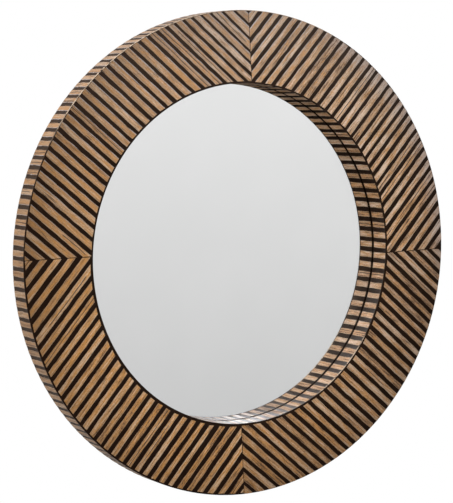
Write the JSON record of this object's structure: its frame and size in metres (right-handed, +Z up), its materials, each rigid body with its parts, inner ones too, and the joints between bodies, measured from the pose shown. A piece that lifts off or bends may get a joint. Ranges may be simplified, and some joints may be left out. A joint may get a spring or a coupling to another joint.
{
  "type": "round wall mirror",
  "caption": "Round wall mirror with a wide, deep flat frame inlaid on face and edges with slanting strips of wood in black resin, hung by D-rings.",
  "frame": {"origin": "centre of the mirror's circle, on the wall plane that the faces of the bumpers lie in", "axes": "+Z up, +Y into the wall, so the glass faces -Y, and +X to the right of someone who looks into the mirror"},
  "size_m": [0.9144, 0.0545, 0.9144],
  "materials": {
    "wood_strip": "thinly sealed, streaky light brown strips of wood with fine lengthwise grain",
    "black_resin": "near-black brown resin, satin to gloss",
    "core_board": "board painted matt black",
    "mirror": "silvered flat glass",
    "back_board": "plain brown hardboard",
    "steel": "nickel-plated pressed steel",
    "rubber": "matt black rubber"
  },
  "bodies": {
    "framed_mirror": {"core_ring": "core_board", "mirror_glass": "mirror", "back_board": "back_board", "hanger_straps": "steel", "wall_bumpers": "rubber", "face_resin": "black_resin", "face_strips_top_right": "wood_strip", "outer_wall_strips_top_right": "wood_strip", "outer_wall_resin_top_right": "black_resin", "inner_wall_strips_top_right": "wood_strip", "inner_wall_resin_top_right": "black_resin", "face_strips_top_left": "wood_strip", "outer_wall_strips_top_left": "wood_strip", "outer_wall_resin_top_left": "black_resin", "inner_wall_strips_top_left": "wood_strip", "inner_wall_resin_top_left": "black_resin", "face_strips_bottom_left": "wood_strip", "outer_wall_strips_bottom_left": "wood_strip", "outer_wall_resin_bottom_left": "black_resin", "inner_wall_strips_bottom_left": "wood_strip", "inner_wall_resin_bottom_left": "black_resin", "face_strips_bottom_right": "wood_strip", "outer_wall_strips_bottom_right": "wood_strip", "outer_wall_resin_bottom_right": "black_resin", "inner_wall_strips_bottom_right": "wood_strip", "inner_wall_resin_bottom_right": "black_resin"},
    "left_ring": {"d_ring_left": "steel"},
    "right_ring": {"d_ring_right": "steel"}
  },
  "joints": [
    {"name": "left_ring_swing", "type": "hinge", "parent": "framed_mirror", "child": "left_ring", "pos_m": [-0.2, -0.0032, 0.365], "axis": [1, 0, 0], "range_deg": [0, 180]},
    {"name": "right_ring_swing", "type": "hinge", "parent": "framed_mirror", "child": "right_ring", "pos_m": [0.2, -0.0032, 0.365], "axis": [1, 0, 0], "range_deg": [0, 180]}
  ]
}
